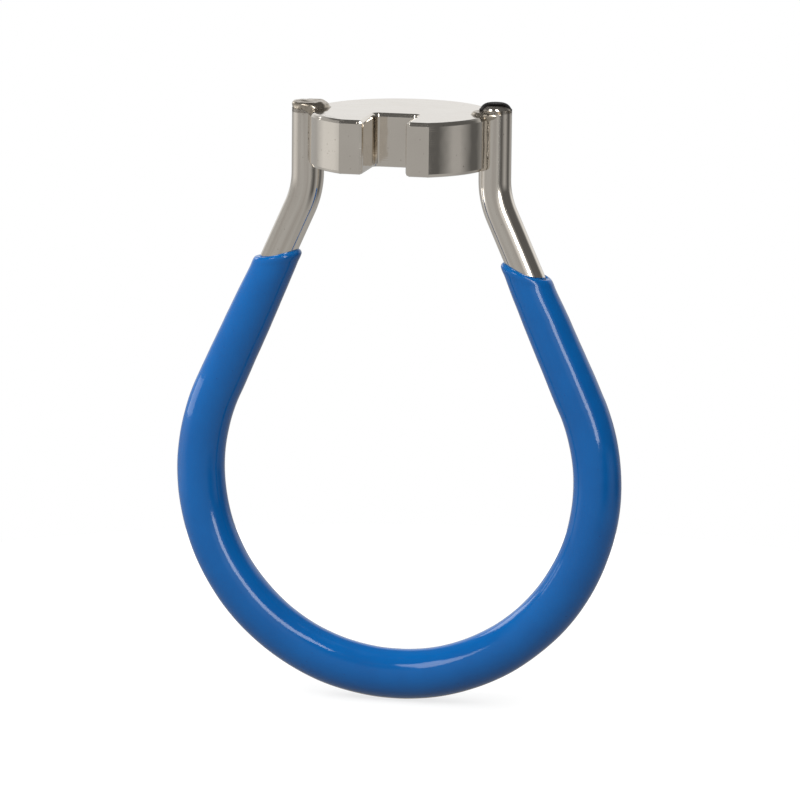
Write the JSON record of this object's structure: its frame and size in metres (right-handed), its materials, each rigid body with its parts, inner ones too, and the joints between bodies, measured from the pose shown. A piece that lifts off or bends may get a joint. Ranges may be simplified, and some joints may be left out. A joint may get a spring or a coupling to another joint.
{
  "type": "spoke wrench",
  "caption": "Round slotted head that turns spoke nipples, with a bent wire finger loop brazed to its sides and a vinyl dip coat over the loop.",
  "frame": {"origin": "on the axis of the nipple that sits in the slot, halfway up the head", "axes": "+Z along the nipple's and the head's axis, from the finger loop towards the wire ends; -Y out of the slot's mouth; +X to the right as seen from the slot's mouth"},
  "size_m": [0.0422, 0.0159, 0.0563],
  "materials": {
    "head_steel": "nickel plated, milled faces",
    "wire_steel": "nickel plated, drawn",
    "braze_alloy": "as brazed, plated over",
    "blue_vinyl": "glossy dip coat"
  },
  "bodies": {
    "root": {"head": "head_steel", "handle_wire": "wire_steel", "left_braze": "braze_alloy", "right_braze": "braze_alloy", "grip": "blue_vinyl"}
  },
  "joints": []
}
